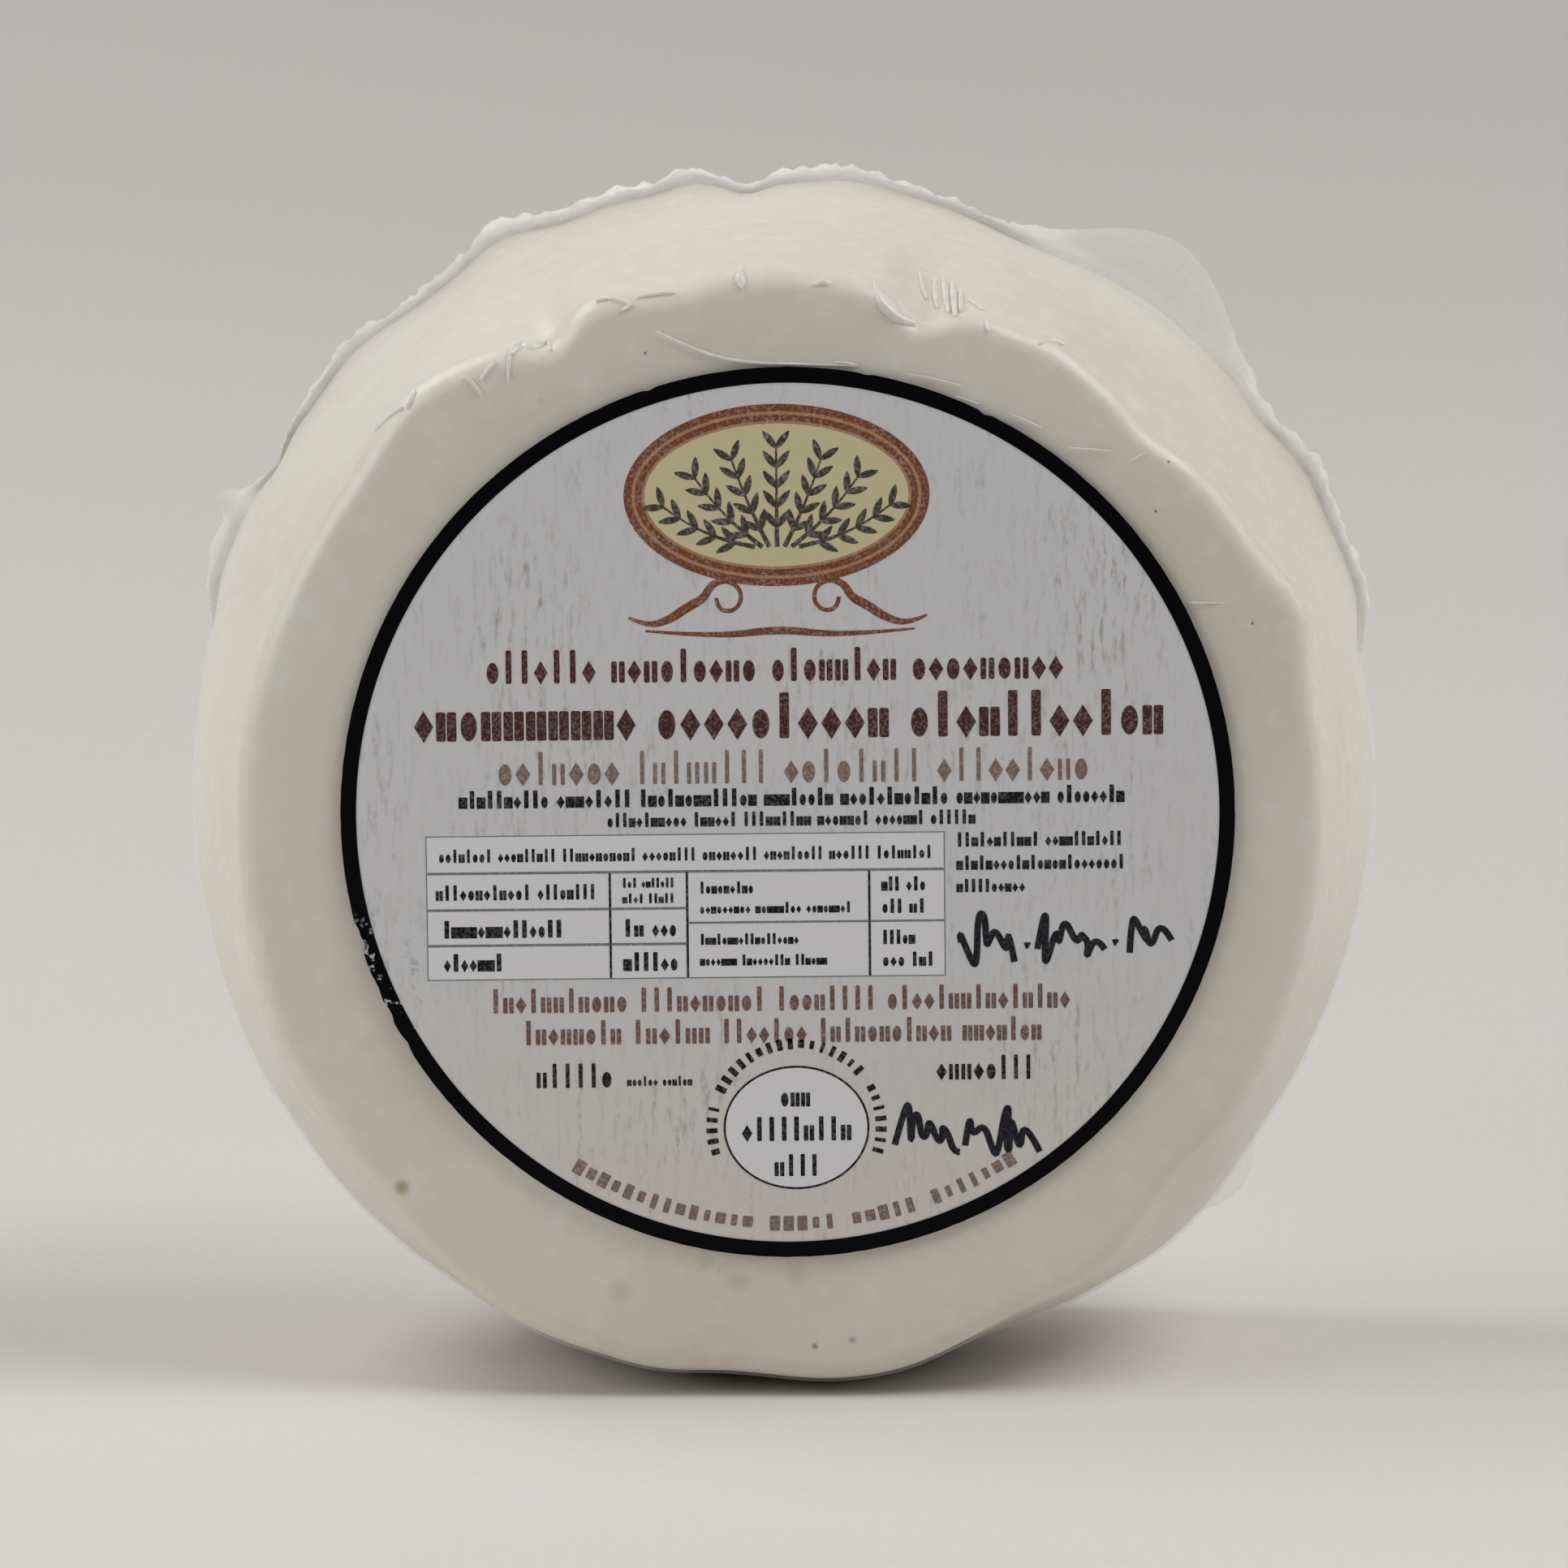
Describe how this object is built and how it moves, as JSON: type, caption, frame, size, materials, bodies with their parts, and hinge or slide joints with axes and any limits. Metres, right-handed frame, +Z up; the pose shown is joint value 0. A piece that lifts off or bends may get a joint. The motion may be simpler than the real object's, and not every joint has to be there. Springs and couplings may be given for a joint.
{
  "type": "aged cacioricotta",
  "caption": "Small round wheel of white aged cheese in tight clear shrink film, standing on its edge, with a round paper label on its face.",
  "frame": {"origin": "middle of the lowest side of the bounding box, on the surface that the wheel stands on", "axes": "+Z up; +Y along the wheel's axis, from the labelled face to the back; +X to the right as seen from the labelled face"},
  "size_m": [0.11, 0.0486, 0.1109],
  "materials": {
    "cheese": "satin ivory cheese under clinging film",
    "film": "thin clear shrink film, crumpled at its seam",
    "label_paper": "printed paper with a dark ring at its edge"
  },
  "bodies": {
    "root": {"wrapped_cheese": "cheese", "label": "label_paper"}
  },
  "joints": []
}
